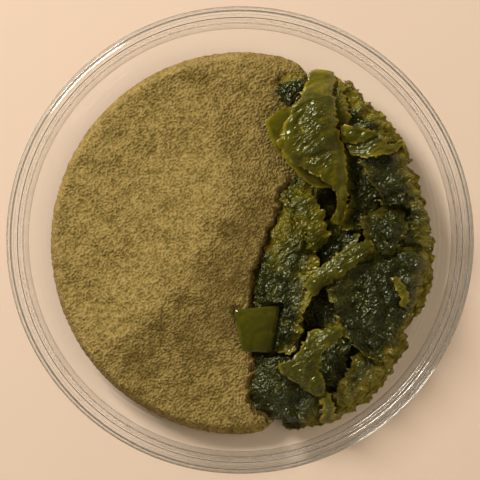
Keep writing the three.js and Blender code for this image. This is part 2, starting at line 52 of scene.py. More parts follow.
# %% Sizes of the dish, the meal and the heap
DISH_RADIUS = 50.0
DISH_HEIGHT = 20.0
BEAD_RADIUS = 1.9
BEAD_RINGS = 11
RING_DEPTH = 0.13
WALL_OUTER = 48.9
WALL_INNER = 46.5
GLASS_FLOOR = 2.6
FOOT_FILLET = 1.0
INNER_FILLET = 1.8
RESTING_LEVEL = 2.9

MEAL_RADIUS = 42.0
MEAL_MIDDLE = (0.5, -0.8)
MEAL_STAR = (-13.0, -2.0)
MEAL_END = 13.5
MEAL_END_SLANT = 0.1
MEAL_RIM_HEIGHT = 0.5
SHOULDER_HEIGHT = 4.0
CREST_HEIGHT = 7.0
END_HEIGHT = 2.2
GRAIN_HEIGHT = 0.09

MAT_STAR = (26.0, -2.0)
MAT_MIDDLE = (2.0, -2.5)
MAT_RADIUS = 39.4
MAT_PAST_MEAL = 1.4
MAT_RIM_HEIGHT = 0.9
MAT_HEIGHT = 1.8

FROND_THICKNESS = 0.8
CLEARANCE = 0.2
FINE = 1.0
print("dish", 2 * DISH_RADIUS, "mm across and", DISH_HEIGHT, "mm high")

# %% [markdown]
# ## Rough surfaces
# Grain, wrinkles and ragged edges look random, but must come out the same each time. Lattice noise does
# that: each whole-number point has a fixed value, and the surface eases from one point to the next. Several
# sizes of it added together make lumps, wrinkles and grain.


# %% Noise, easing and smooth curves
def lattice_value(i, j):
    """The fractional part of a large sine of the lattice point, spread over -1 to 1."""
    s = np.sin(i * 127.1 + j * 311.7) * 43758.5453
    return 2.0 * (s - np.floor(s)) - 1.0


def roughness(x, y):
    """Blend the four lattice values round each point, with the weight 3f^2 - 2f^3 on each axis."""
    i, j = np.floor(x), np.floor(y)
    fx, fy = x - i, y - j
    fx, fy = fx * fx * (3 - 2 * fx), fy * fy * (3 - 2 * fy)
    low = lattice_value(i, j) * (1 - fx) + lattice_value(i + 1, j) * fx
    high = lattice_value(i, j + 1) * (1 - fx) + lattice_value(i + 1, j + 1) * fx
    return low * (1 - fy) + high * fy


def turned(x, y, degrees):
    """The same place in a grid that is turned by some degrees, which hides the lattice's own rows."""
    c, s = np.cos(np.radians(degrees)), np.sin(np.radians(degrees))
    return c * x - s * y, s * x + c * y


def smoothstep(x, low, high):
    """0 below low, 1 above high, and 3f^2 - 2f^3 between them."""
    f = np.clip((x - low) / (high - low), 0.0, 1.0)
    return f * f * (3 - 2 * f)


def along(rows, t):
    """The Catmull-Rom curve through the rows at each t from 0 to 1, for every column at once."""
    rows = np.asarray(rows, dtype=float)
    last = len(rows) - 1
    s = np.clip(t, 0, 1) * last
    i = np.minimum(np.floor(s).astype(int), last - 1)
    f = (s - i)[:, None]
    a, b, c, d = (rows[np.clip(i + k, 0, last)] for k in (-1, 0, 1, 2))
    square = 2 * a - 5 * b + 4 * c - d
    cube = 3 * b - a - 3 * c + d
    return b + 0.5 * ((c - a) * f + square * f**2 + cube * f**3)


# %% [markdown]
# ## From points to meshes
# A grid of points becomes a sheet of four-sided faces. Named values can be stored at its points, for the
# materials to read.


# %% Meshes from grids of points
def new_object(name, points, faces, material, values=None):
    """A smooth-shaded mesh from points in millimetres and lists of point numbers."""
    mesh = bpy.data.meshes.new(name)
    mesh.from_pydata((np.asarray(points) / 1000.0).tolist(), [], faces)
    mesh.shade_smooth()
    for key, numbers in (values or {}).items():
        layer = mesh.attributes.new(key, "FLOAT", "POINT")
        layer.data.foreach_set("value", np.asarray(numbers, dtype=np.float32).ravel())
    mesh.materials.append(material)
    thing = bpy.data.objects.new(name, mesh)
    bpy.context.scene.collection.objects.link(thing)
    return thing


def part_of_dish(thing, node):
    """The object stands for one of the solids, whose own mesh is hidden, and rides with the body root."""
    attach(thing, "root")
    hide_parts(node)


def grid_faces(rows, columns, start=0, turn_over=False):
    """The four-sided faces of a grid of points numbered row by row."""
    i, j = np.meshgrid(np.arange(rows - 1), np.arange(columns - 1), indexing="ij")
    a = start + i * columns + j
    order = [a, a + 1, a + 1 + columns, a + columns]
    faces = np.stack(order[::-1] if turn_over else order, axis=-1)
    return faces.reshape(-1, 4)


def strip_faces(first, second):
    """Four-sided faces between two rows of point numbers."""
    return np.stack([first[:-1], first[1:], second[1:], second[:-1]], axis=-1)


def fan_faces(middle, first, second):
    """Three-sided faces from one point to each pair of points beside each other."""
    return np.column_stack([np.full(len(first), middle), first, second])


# %% [markdown]
# ## Shader nodes
# A material is a small network of nodes. Noise reads Object coordinates, so its bumps have a real size.
# It can be drawn out along one line, as the wrinkles of a wet blade are.

# %% Helpers for materials
STREAK_ANGLE = 40


def new_material(name):
    """A material and its Principled shader."""
    material = bpy.data.materials.new(name)
    material.use_nodes = True
    return material, material.node_tree.nodes["Principled BSDF"]


def add_node(material, kind, **settings):
    """A node of some kind, with its settings and the numbers on its sockets."""
    node = material.node_tree.nodes.new(kind)
    for key, value in settings.items():
        if key in node.inputs:
            node.inputs[key].default_value = value
        else:
            setattr(node, key, value)
    return node


def calculate(material, operation, *values):
    """The result of a Math node whose inputs are sockets or plain numbers."""
    node = add_node(material, "ShaderNodeMath", operation=operation)
    for socket, value in zip(node.inputs, values):
        if isinstance(value, bpy.types.NodeSocket):
            material.node_tree.links.new(value, socket)
        else:
            socket.default_value = value
    return node.outputs[0]


def stored(material, key):
    """The value that was stored at the mesh's points under some name."""
    return add_node(material, "ShaderNodeAttribute", attribute_name=key).outputs["Fac"]


def ramp(material, factor, stops):
    """A colour ramp with the given places and colours, fed by a socket."""
    node = add_node(material, "ShaderNodeValToRGB")
    node.color_ramp.elements[0].position = stops[0][0]
    node.color_ramp.elements[0].color = (*stops[0][1], 1)
    node.color_ramp.elements[1].position = stops[-1][0]
    node.color_ramp.elements[1].color = (*stops[-1][1], 1)
    for place, colour in stops[1:-1]:
        node.color_ramp.elements.new(place).color = (*colour, 1)
    material.node_tree.links.new(factor, node.inputs["Fac"])
    return node.outputs["Color"]


def noise(material, scale, detail, stretch=1.0):
    """Smooth noise with about scale bumps to the metre, each stretch times as long as it is wide."""
    place = add_node(material, "ShaderNodeTexCoord")
    turn = (0, 0, np.radians(STREAK_ANGLE))
    drawn_out = add_node(
        material, "ShaderNodeMapping", vector_type="TEXTURE", Rotation=turn, Scale=(stretch, 1, 1)
    )
    node = add_node(material, "ShaderNodeTexNoise", Scale=scale, Detail=detail)
    material.node_tree.links.new(place.outputs["Object"], drawn_out.inputs["Vector"])
    material.node_tree.links.new(drawn_out.outputs["Vector"], node.inputs["Vector"])
    return node.outputs["Fac"]


def bump(material, shader, height, distance):
    """Make the surface look raised, by up to a distance in metres, where the height is high."""
    node = add_node(material, "ShaderNodeBump", Strength=1.0, Distance=distance)
    material.node_tree.links.new(height, node.inputs["Height"])
    material.node_tree.links.new(node.outputs["Normal"], shader.inputs["Normal"])


# %% [markdown]
# ## Glass and meal
# The glass is clear, with a trace of white in it that lightens its thick foot a little. The meal is dry and
# dull. Its colour is darkest in the pits of its grain, partly as painted shade and partly its own uneven
# tone, and a finer noise breaks it up.

# %% Clear glass
glass, shader = new_material("clear glass")
shader.inputs["Base Color"].default_value = (0.975, 0.985, 0.975, 1)
shader.inputs["Roughness"].default_value = 0.05
shader.inputs["Transmission Weight"].default_value = 0.98
shader.inputs["IOR"].default_value = 1.47

# %% Dry meal
PIT_SHADE_SHARE = 0.3
MEAL_COLOURS = [(0.3, (0.15, 0.104, 0.027)), (0.5, (0.265, 0.185, 0.052)), (0.72, (0.36, 0.253, 0.086))]

meal_powder, shader = new_material("seaweed meal")
shader.inputs["Roughness"].default_value = 0.95
shader.inputs["Specular IOR Level"].default_value = 0.15
# Painted shade: the grain's noise raises the bump and also darkens the colour in its pits, over the meal's
# own uneven tone.
fine_grain = noise(meal_powder, 2000.0, 0.0)
fine_part = calculate(meal_powder, "MULTIPLY", fine_grain, 1 - PIT_SHADE_SHARE)
meal_shade = calculate(meal_powder, "MULTIPLY_ADD", stored(meal_powder, "height"), PIT_SHADE_SHARE, fine_part)
meal_colour = ramp(meal_powder, meal_shade, MEAL_COLOURS)
meal_powder.node_tree.links.new(meal_colour, shader.inputs["Base Color"])
bump(meal_powder, shader, fine_grain, 0.00042)

# %% [markdown]
# ## Wet fronds
# A frond is bottle green where it is thick and olive-yellow at its thin edges. How thin it is, with painted
# highlights and painted shade mixed in, and how creped, is stored in the mesh. The wet film is the shader's
# own gloss, tinted a little so that its glints look green, over a fine relief that is strongest where the
# frond is creped.


# %% Wet frond in three tones
def frond_material(name, deep, body, edge, yellow_from, gloss, stretch):
    """Wet frond: deep green in the middle, then body, then edge from yellow_from outwards, mottled."""
    material, shader = new_material(name)
    mottle = calculate(material, "MULTIPLY_ADD", noise(material, 700.0, 3.0), 0.5, -0.25)
    shade = calculate(material, "ADD", stored(material, "thin"), mottle)
    stops = [(0.0, deep), (yellow_from * 0.6, body), (yellow_from + 0.25, edge), (1.0, edge)]
    material.node_tree.links.new(ramp(material, shade, stops), shader.inputs["Base Color"])
    shader.inputs["Roughness"].default_value = 0.13
    shader.inputs["Specular IOR Level"].default_value = 0.5 * gloss
    shader.inputs["Specular Tint"].default_value = (0.9, 1.0, 0.72, 1)
    fine_noise = noise(material, 1600.0, 1.5, stretch)
    relief = calculate(material, "MULTIPLY", fine_noise, stored(material, "crepe"))
    bump(material, shader, relief, 0.0009)
    return material


wet_olive = frond_material(
    "wet olive frond", (0.052, 0.048, 0.003), (0.125, 0.102, 0.005), (0.22, 0.168, 0.012), 0.6, 1.0, 2.2
)
wet_dark = frond_material(
    "wet dark frond", (0.018, 0.019, 0.003), (0.055, 0.05, 0.005), (0.17, 0.132, 0.009), 0.6, 1.1, 1.5
)
wet_deep = frond_material(
    "wet frond in shade", (0.022, 0.02, 0.002), (0.042, 0.037, 0.003), (0.2, 0.145, 0.01), 0.7, 0.3, 1.0
)
print("materials", glass.name, meal_powder.name, wet_olive.name, wet_dark.name, wet_deep.name)

# %% [markdown]
# ## The glass dish
# A dish like this is the same all the way round, so its section is drawn once and turned about the upright
# axis. A Screw modifier could turn it too, but here the section is a formula, so an array of points is as
# short. The section runs from the foot up the wall, over the bead and down inside to the floor. Shallow
# rings in the bead and the floor catch the light in thin lines, as pressed glass does.

# %% The dish's section, turned
FLOOR_RING_START = 44.3
FLOOR_RINGS = 2
FLOOR_RING_HEIGHT = 0.1
DISH_SIDES = 320


def arc(r, z, radius, start, end, steps):
    """Points on a circle round (r, z), from one angle to the other."""
    angle = np.radians(np.linspace(start, end, steps + 1))
    return np.column_stack([r + radius * np.cos(angle), z + radius * np.sin(angle)])


def ringed_bead(steps):
    """The rim's bead: a circle whose radius dips by a cosine, once for each ring pressed into it."""
    angle = np.radians(np.linspace(-65, 212, steps + 1))
    radius = BEAD_RADIUS - RING_DEPTH / 2 * (1 - np.cos(BEAD_RINGS * (angle - np.pi / 2)))
    r, z = DISH_RADIUS - BEAD_RADIUS, DISH_HEIGHT - BEAD_RADIUS
    return np.column_stack([r + radius * np.cos(angle), z + radius * np.sin(angle)])


def upright(r, low, high):
    """A straight wall at radius r, with points close to both ends so that it is shaded flat."""
    return np.array([(r, low + 0.05), (r, low + 0.4), (r, high - 0.4), (r, high - 0.05)])


def floor_rings(steps):
    """Rings moulded in the floor just inside the wall, 1 mm apart, whose height is a cosine of r."""
    r = np.linspace(FLOOR_RING_START, FLOOR_RING_START - FLOOR_RINGS, steps + 1)
    wave = 1 - np.cos(2 * np.pi * (FLOOR_RING_START - r))
    return np.column_stack([r, GLASS_FLOOR + FLOOR_RING_HEIGHT / 2 * wave])


def dish_section():
    """The outline of the glass, as rows of radius and height."""
    bead = ringed_bead(140)
    return np.vstack(
        [
            arc(WALL_OUTER - FOOT_FILLET, FOOT_FILLET, FOOT_FILLET, -90, 0, 10),
            upright(WALL_OUTER, FOOT_FILLET, bead[0, 1]),
            bead,
            upright(WALL_INNER, GLASS_FLOOR + INNER_FILLET, bead[-1, 1])[::-1],
            arc(WALL_INNER - INNER_FILLET, GLASS_FLOOR + INNER_FILLET, INNER_FILLET, 0, -90, 10),
            floor_rings(32),
        ]
    )


def turned_solid(section, sides):
    """Turn a section about the upright axis, and close it at the axis above and below."""
    angle = np.linspace(0, 2 * np.pi, sides, endpoint=False)
    r, z = section[:, 0], section[:, 1]
    ring = np.stack([np.outer(np.cos(angle), r), np.outer(np.sin(angle), r), np.tile(z, (sides, 1))], -1)
    count = len(section)
    i, j = np.meshgrid(np.arange(sides), np.arange(count - 1), indexing="ij")
    here, beside = i * count + j, ((i + 1) % sides) * count + j
    faces = np.stack([here, beside, beside + 1, here + 1], -1).reshape(-1, 4).tolist()
    points = np.vstack([ring.reshape(-1, 3), [[0, 0, z[0]]], [[0, 0, z[-1]]]])
    under, over = len(points) - 2, len(points) - 1
    first = np.arange(sides) * count
    after = np.roll(first, -1)
    faces += fan_faces(under, after, first).tolist()
    faces += fan_faces(over, first + count - 1, after + count - 1).tolist()
    return points, faces


points, faces = turned_solid(dish_section(), DISH_SIDES)
dish = new_object("glass_dish", points, faces, glass)
dish.visible_shadow = False
dish.visible_diffuse = False
part_of_dish(dish, "dish")
print("dish", len(faces), "faces")

# %% [markdown]
# ## The table of fronds
# Each frond is a sheet between two edges. A row of its table holds a point of the left edge, a point of
# the right edge and the height midway between them. The two numbers after the tone say how far each half
# curls by its edge, in degrees, down if negative. The next two are the height and the number of the waves
# along its edges, and the last is the height of the folds across its face. The topmost frond comes first.

# %% The fronds, from the top of the heap down
FRONDS = [
    ("frond_crown", "olive", (-26, -60), (0.25, 5), 0.6, [
        (14.6, 37.3, 21.2, 36.7, 8.4),
        (14.0, 33.1, 20.7, 32.1, 12.0),
        (11.9, 28.9, 20.5, 28.2, 14.8),
        (9.7, 25.0, 21.2, 25.0, 16.0),
        (8.5, 20.3, 22.0, 21.4, 16.0),
        (11.8, 16.2, 22.4, 17.2, 15.3),
        (17.6, 12.9, 22.9, 13.2, 14.2),
        (20.7, 10.1, 23.2, 9.7, 13.0),
        (20.8, 7.3, 23.2, 7.6, 11.2),
        (19.7, 3.8, 21.9, 3.3, 9.0),
    ]),
    ("frond_spear", "olive", (-52, -48), (0.2, 4), 0.5, [
        (28.2, -0.1, 29.1, -1.1, 12.6),
        (23.9, -1.0, 26.8, -3.6, 13.5),
        (20.2, -3.4, 23.8, -6.3, 13.9),
        (16.7, -6.4, 20.0, -9.2, 13.7),
        (13.7, -9.6, 15.7, -12.4, 12.4),
    ]),
    ("frond_star", "olive", (-42, -30), (0.25, 4), 0.5, [
        (21.4, -18.3, 22.4, -19.2, 11.8),
        (15.9, -19.6, 20.5, -22.6, 13.1),
        (13.6, -22.4, 17.6, -24.2, 13.6),
        (11.5, -25.4, 17.1, -26.9, 13.2),
        (8.1, -27.6, 17.5, -29.0, 12.3),
        (12.7, -31.8, 18.2, -31.2, 11.2),
        (16.1, -34.0, 18.1, -33.7, 9.8),
    ]),
    ("frond_shelf", "olive", (-35, 20), (0.15, 3), 0.3, [
        (22.1, 21.2, 21.7, 24.8, 11.6),
        (24.8, 20.9, 24.8, 24.6, 12.8),
        (27.4, 21.8, 27.1, 24.0, 13.0),
        (29.4, 22.9, 29.2, 23.7, 12.2),
    ]),
    ("frond_shelf_outer", "olive", (20, -40), (0.2, 3), 0.4, [
        (24.2, 18.2, 22.9, 20.9, 10.8),
        (26.9, 17.9, 26.9, 21.9, 12.2),
        (29.9, 18.2, 29.9, 22.6, 12.5),
        (33.0, 18.7, 32.5, 20.9, 11.6),
        (35.0, 20.2, 35.2, 21.8, 10.2),
    ]),
    ("frond_frill", "olive", (-45, -40), (0.55, 6), 0.6, [
        (9.8, 9.3, 10.4, 11.3, 9.4),
        (11.2, 7.5, 14.2, 10.8, 10.8),
        (12.2, 4.6, 16.9, 7.9, 11.4),
        (13.7, 1.4, 18.8, 4.5, 11.2),
        (14.6, -1.3, 19.4, 1.1, 10.6),
        (15.0, -3.1, 17.4, -1.9, 9.6),
    ]),
    ("frond_flap", "olive", (-10, -36), (0.04, 3), 0.15, [
        (-1.2, -15.1, 8.7, -14.2, 9.6),
        (-0.9, -17.3, 8.3, -16.7, 10.0),
        (-0.5, -19.9, 7.7, -19.4, 10.0),
        (-0.0, -22.2, 7.2, -22.0, 9.7),
        (0.5, -24.2, 6.7, -24.5, 9.2),
    ]),
    ("frond_curl", "olive", (-60, -60), (0.2, 3), 0.4, [
        (32.5, -8.3, 34.0, -7.9, 11.4),
        (33.8, -10.6, 35.6, -9.7, 12.0),
        (34.7, -12.5, 36.6, -12.4, 11.9),
        (34.2, -14.2, 36.0, -14.7, 11.0),
    ]),
    ("frond_south_tip", "olive", (-50, -50), (0.3, 4), 0.3, [
        (16.1, -33.1, 18.9, -32.8, 9.6),
        (17.6, -35.6, 20.5, -35.2, 9.4),
        (17.8, -37.7, 20.8, -37.5, 8.0),
        (17.1, -40.1, 20.0, -40.0, 6.0),
    ]),
    ("frond_crown_back", "olive", (-20, -40), (0.3, 4), 0.5, [
        (20.0, 36.6, 23.2, 34.2, 7.6),
        (19.0, 32.8, 23.0, 31.6, 9.8),
        (19.6, 29.1, 23.6, 28.1, 10.8),
        (20.8, 24.7, 24.1, 24.3, 10.2),
    ]),
    ("frond_under_blade", "olive", (12, -25), (0.18, 3), 0.2, [
        (9.1, 28.7, 13.7, 29.1, 11.4),
        (5.6, 25.6, 14.9, 26.1, 12.1),
        (6.6, 21.9, 16.4, 21.6, 12.3),
        (8.4, 18.6, 18.6, 18.0, 12.0),
        (12.2, 14.7, 21.1, 14.7, 11.5),
        (15.7, 11.4, 22.5, 11.2, 10.4),
    ]),
    ("frond_west_tip", "dark", (-45, -45), (0.35, 4), 0.5, [
        (9.2, 35.6, 13.0, 36.9, 7.8),
        (8.1, 33.9, 14.6, 34.6, 9.0),
        (8.6, 31.9, 14.2, 32.2, 9.5),
        (8.9, 29.3, 13.4, 29.5, 9.2),
    ]),
    ("frond_hook", "dark", (38, -34), (0.35, 5), 1.0, [
        (28.9, 6.4, 35.0, 7.1, 9.4),
        (26.1, 4.8, 36.5, 4.5, 10.8),
        (25.9, 2.9, 36.1, 1.7, 11.4),
        (26.8, 0.2, 34.9, -1.0, 11.2),
        (27.3, -2.2, 32.8, -3.4, 10.4),
    ]),
    ("frond_mid_lobe", "dark", (-48, 18), (0.5, 7), 1.25, [
        (10.7, 14.0, 16.6, 14.3, 8.4),
        (9.4, 9.8, 15.6, 8.9, 8.8),
        (8.9, 6.2, 16.4, 4.4, 9.0),
        (6.9, 1.9, 17.4, 0.2, 9.4),
        (5.6, -2.8, 17.1, -3.7, 9.8),
        (3.3, -7.6, 16.2, -8.2, 10.0),
        (2.2, -12.5, 14.7, -13.3, 9.8),
        (2.6, -16.7, 13.3, -17.4, 9.2),
        (3.9, -21.2, 12.8, -21.5, 8.4),
        (5.4, -24.5, 11.9, -24.8, 7.4),
    ]),
    ("frond_east", "dark", (30, -38), (0.5, 7), 1.35, [
        (28.0, -2.2, 40.3, -1.2, 8.6),
        (23.6, -4.9, 41.4, -5.2, 10.2),
        (19.4, -9.5, 40.5, -8.9, 10.8),
        (19.6, -13.1, 39.5, -11.8, 10.9),
        (21.1, -17.2, 37.0, -16.2, 10.6),
        (23.0, -21.5, 34.7, -20.2, 9.9),
        (26.6, -24.6, 33.5, -24.4, 8.8),
        (30.1, -26.5, 32.4, -26.6, 7.4),
    ]),
    ("frond_east_upper", "dark", (34, -42), (0.5, 7), 1.35, [
        (27.4, 20.0, 35.1, 20.0, 8.0),
        (26.0, 17.5, 37.2, 16.6, 9.6),
        (27.3, 14.2, 38.3, 13.3, 10.6),
        (29.0, 10.9, 39.1, 9.7, 10.8),
        (30.7, 7.6, 39.9, 6.2, 10.2),
        (29.8, 3.8, 40.9, 2.0, 9.2),
        (28.0, -0.4, 41.2, -2.2, 8.0),
        (26.2, -3.7, 39.9, -5.3, 7.0),
    ]),
    ("frond_north", "dark", (-25, -48), (0.45, 6), 1.1, [
        (22.5, 35.0, 24.6, 34.1, 5.8),
        (22.4, 29.8, 27.1, 30.8, 8.4),
        (23.6, 24.7, 29.9, 27.1, 9.4),
        (27.7, 21.5, 32.8, 23.4, 9.0),
        (31.5, 18.5, 35.8, 19.9, 7.2),
    ]),
    ("frond_south", "dark", (-48, -35), (0.5, 6), 1.25, [
        (4.8, -21.8, 11.3, -22.1, 7.0),
        (3.6, -24.8, 12.5, -25.1, 8.0),
        (3.5, -28.3, 14.2, -28.3, 8.7),
        (3.0, -32.3, 17.9, -32.2, 9.0),
        (3.3, -35.9, 20.1, -35.7, 8.0),
        (5.8, -38.7, 19.6, -38.2, 6.8),
        (10.1, -40.4, 17.3, -39.9, 5.4),
    ]),
    ("frond_south_east", "dark", (20, -40), (0.45, 6), 1.1, [
        (29.3, -23.2, 33.8, -24.2, 6.6),
        (25.1, -25.2, 31.7, -27.8, 8.0),
        (23.1, -28.7, 28.9, -30.8, 8.2),
        (20.9, -31.9, 25.7, -34.0, 7.4),
        (19.6, -35.5, 22.7, -36.8, 5.8),
    ]),
    ("frond_inner_north", "dark", (35, -30), (0.4, 5), 0.9, [
        (22.8, 23.0, 28.3, 23.0, 8.0),
        (22.4, 18.8, 28.6, 18.8, 8.8),
        (22.6, 14.3, 30.1, 14.3, 9.0),
        (22.9, 9.8, 31.1, 9.8, 8.8),
        (22.7, 5.9, 29.9, 5.6, 8.4),
        (21.2, 2.3, 27.7, 2.0, 7.8),
    ]),
    ("frond_inner_middle", "dark", (-35, 35), (0.4, 5), 0.9, [
        (16.3, 4.4, 26.8, 3.8, 7.4),
        (16.6, 0.2, 25.9, -0.4, 7.8),
        (15.6, -4.6, 23.7, -5.2, 7.9),
        (14.7, -9.5, 21.8, -10.1, 7.9),
        (13.8, -14.3, 22.2, -14.6, 7.6),
        (13.2, -18.8, 23.7, -19.1, 7.0),
    ]),
    ("frond_inner_south", "dark", (30, -30), (0.35, 4), 0.8, [
        (15.1, -21.3, 24.4, -21.6, 6.2),
        (15.1, -24.9, 23.8, -25.5, 6.6),
        (15.1, -29.1, 22.8, -29.7, 6.4),
        (16.3, -33.3, 21.3, -33.6, 6.0),
    ]),
    ("frond_margin_north", "olive", (-8, -12), (0.5, 13), 0.4, [
        (15.4, 34.6, 15.0, 37.1, 5.2),
        (18.9, 33.6, 19.3, 36.1, 5.0),
        (22.0, 31.0, 23.6, 33.6, 4.6),
        (24.8, 28.6, 27.4, 31.0, 4.6),
        (27.9, 25.6, 30.6, 27.9, 4.6),
        (30.4, 22.3, 33.5, 24.3, 4.6),
        (32.9, 18.6, 36.3, 20.4, 4.6),
        (34.6, 15.9, 38.3, 17.0, 4.4),
    ]),
    ("frond_margin_east", "olive", (-8, -12), (0.5, 14), 0.4, [
        (35.1, 15.6, 38.2, 15.9, 4.4),
        (36.6, 10.5, 40.2, 10.3, 4.6),
        (38.0, 3.8, 41.5, 3.5, 4.6),
        (38.5, -2.9, 42.6, -2.3, 4.6),
        (38.3, -7.1, 42.1, -7.1, 4.6),
        (37.3, -11.9, 41.2, -11.9, 4.6),
        (35.2, -16.5, 39.0, -17.1, 4.4),
    ]),
    ("frond_margin_south", "olive", (-8, -12), (0.5, 14), 0.4, [
        (33.5, -19.2, 37.7, -21.0, 4.4),
        (30.1, -24.3, 34.6, -27.5, 4.6),
        (26.0, -28.7, 30.7, -32.5, 4.6),
        (21.8, -32.2, 26.4, -36.5, 4.6),
        (17.3, -34.9, 21.4, -39.2, 4.6),
        (12.9, -37.1, 15.4, -40.9, 4.6),
        (8.9, -38.6, 9.7, -41.7, 4.4),
    ]),
]
print(len(FRONDS), "fronds drawn through", sum(len(entry[-1]) for entry in FRONDS), "stations")

# %% [markdown]
# ## Keeping the pieces apart
# In a real heap one blade rests on another and none goes through it. Cutting each mesh by its neighbours
# would be slow and leave ragged edges, so the lower one is bent down instead. A map of the dish, the
# ceiling, holds the lowest point made so far over each small cell. Each new piece is kept under it and
# then lowers it in turn, which is why the topmost is made first.

# %% A ceiling that comes down as the heap is made
CELL = 0.3
CELLS = 360
SPREAD = 2
OPEN_ABOVE = 100.0
ceiling = np.full((CELLS, CELLS), OPEN_ABOVE)


def cells_over(points):
    """The row and column of the ceiling's cell that each point is in."""
    place = np.round(points[..., :2] / CELL).astype(int) + CELLS // 2
    place = np.clip(place, SPREAD, CELLS - 1 - SPREAD)
    return place[..., 0], place[..., 1]


def keep_under(points, room):
    """Lower the points to room below the ceiling, but not so far that their piece enters the floor."""
    allowed = np.maximum(ceiling[cells_over(points)] - room, RESTING_LEVEL + room - CLEARANCE)
    points[..., 2] = np.minimum(points[..., 2], allowed)
    return points


def tuck_under(points):
    """Lower the top of a bank below the ceiling, and leave its underside where it is."""
    top = points[:, 2] > RESTING_LEVEL
    points[top] = keep_under(points[top], 2 * CLEARANCE)
    return points


def add_to_ceiling(points):
    """The ceiling becomes the lower of itself and the points, over each point and two cells round it."""
    row, column = cells_over(points)
    for i in range(-SPREAD, SPREAD + 1):
        for j in range(-SPREAD, SPREAD + 1):
            np.minimum.at(ceiling, (row + i, column + j), points[..., 2])


# %% [markdown]
# ## The form of a frond
# A real blade is soft and lies in folds. A cloth simulation could crumple it, but then no number would
# say where an edge lies, so the sheet is a formula. It bends on a circle across, waves along its edges and
# narrows at its ends. Finer wrinkles come after it: sharp folds, creases and blisters, drawn out along one
# line. They are geometry and not only bump, because their glints and shadows make the frond look wet.

# %% The middle face, its normals and its wrinkles
ROUNDED_END = 0.14
MESH_STEP = 0.24
LEAST_POINTS = 8
CURL_ALLOWANCE = 1.15
LEAST_CREPE = {"frond_crown": 0.4, "frond_spear": 0.75, "frond_star": 0.78}


def unit(vectors):
    """Each vector at length 1."""
    return vectors / np.linalg.norm(vectors, axis=-1, keepdims=True)


def raggedness(frill):
    """How ragged the edges are, from 0 to 1: three times the height of their waves in millimetres."""
    return min(1.0, 3 * frill[0])


def fullness(u, seed, ragged):
    """How full the width is at u: a quarter circle over the last seventh at each end, and uneven edges."""
    near = np.minimum(1, np.minimum(u, 1 - u) / ROUNDED_END)
    return 1 - 0.55 * ragged * (1 - np.sqrt(1 - (1 - near) ** 2)) + 0.07 * ragged * roughness(u * 9, seed)


def frond_size(rows):
    """The length of the middle line, and the greatest width with an allowance for the curl."""
    line = along(rows, np.linspace(0, 1, 60))
    middle = np.column_stack([(line[:, 0] + line[:, 2]) / 2, (line[:, 1] + line[:, 3]) / 2, line[:, 4]])
    length = np.linalg.norm(np.diff(middle, axis=0), axis=1).sum()
    width = np.hypot(line[:, 2] - line[:, 0], line[:, 3] - line[:, 1]).max() * CURL_ALLOWANCE
    return length, width


def frond_sheet(rows, bend, frill, crinkle, u, v):
    """The middle face of a frond, with u from 0 to 1 along it and v from -1 to 1 across it. A point goes
    out by sin(turn) / sin(curl) of the half width, and up by (1 - cos(turn)) / sin(curl) of it."""
    left_x, left_y, right_x, right_y, level = along(rows, u[:, 0]).T[:, :, None]
    half = np.hypot(right_x - left_x, right_y - left_y) / 2
    curl = np.radians(np.where(v < 0, bend[0], bend[1]))
    turn = curl * np.abs(v)
    ragged = raggedness(frill)
    full = fullness(u, len(rows) + np.where(v < 0, 0, 5), ragged)
    teeth = roughness(u * len(rows) * 4, np.sign(v) * 3) + 0.6 * roughness(u * len(rows) * 9, np.sign(v) * 7)
    full = full + np.abs(v) ** 4 * 0.6 * ragged / half * teeth
    out = full * np.sign(v) * np.sin(turn) / np.sin(curl)
    x = left_x + (right_x - left_x) * (1 + out) / 2
    y = left_y + (right_y - left_y) * (1 + out) / 2
    edge_wave = frill[0] * v**2 * np.sin(2 * np.pi * frill[1] * u + np.where(v < 0, 0, 2))
    folds = crinkle * (0.5 - np.abs(roughness(x * 0.32 + 9, y * 0.32 + v)))
    z = level + half * (1 - np.cos(turn)) / np.sin(curl) + edge_wave + folds
    return np.stack([x, y, z], axis=-1)


def sheet_normals(sheet):
    """The upward normal at each point of a sheet, from its neighbours."""
    forward = unit(np.gradient(sheet, axis=0))
    across = unit(np.gradient(sheet, axis=1))
    return unit(np.cross(across, forward))


def fine_wrinkles(x, y, amount, crepe, stretch=1.0):
    """Sharp folds a few millimetres apart, and creases and blisters of a millimetre where it is creped."""
    warp_x = x + 0.9 * roughness(x * 0.35 + 3, y * 0.35)
    warp_y = y + 0.9 * roughness(x * 0.35, y * 0.35 + 8)
    lengthwise, crosswise = turned(warp_x, warp_y, -STREAK_ANGLE)
    lengthwise = lengthwise / stretch
    folds = 0.5 - np.abs(roughness(*turned(lengthwise * 0.42, crosswise * 0.42, 25)))
    creases = 0.5 - np.abs(roughness(*turned(lengthwise * 0.8 + 5, crosswise * 0.8, 20)))
    blisters = np.maximum(0, roughness(*turned(lengthwise * 1.25, crosswise * 1.25 + 2, 15)))
    return amount * (0.5 * folds + crepe * (0.3 * creases + 0.22 * blisters))


def creping(name, crinkle, u, v):
    """How creped a smooth frond is, from 0 to 1, squared: most in a patch two fifths of the way along."""
    across = 1 - smoothstep(np.abs(v), 0.3, 0.8)
    middle_part = across * (1 - smoothstep(np.abs(u - 0.4), 0.12, 0.3))
    least = LEAST_CREPE.get(name, 0.6)
    return (min(1, 2 * crinkle) * (least + (1 - least) * middle_part)) ** 2


# %% [markdown]
# ## Where a frond is pale, and where light and shade are painted
# Light comes through a wet frond where it is thin, so its edges and the side of the heap that faces the rim
# are yellower. Light and shade are also painted in: rolled-up edges and the edges of some smooth fronds get
# a painted highlight, raised wrinkles are painted lighter and their hollows darker, and the crown's right
# half, which curls down away from the light, is painted lighter. The frond's colour ramp reads all this as
# one stored number.

# %% How thin and pale each point looks, with painted light and shade
SMOOTH_RIM = 1.4
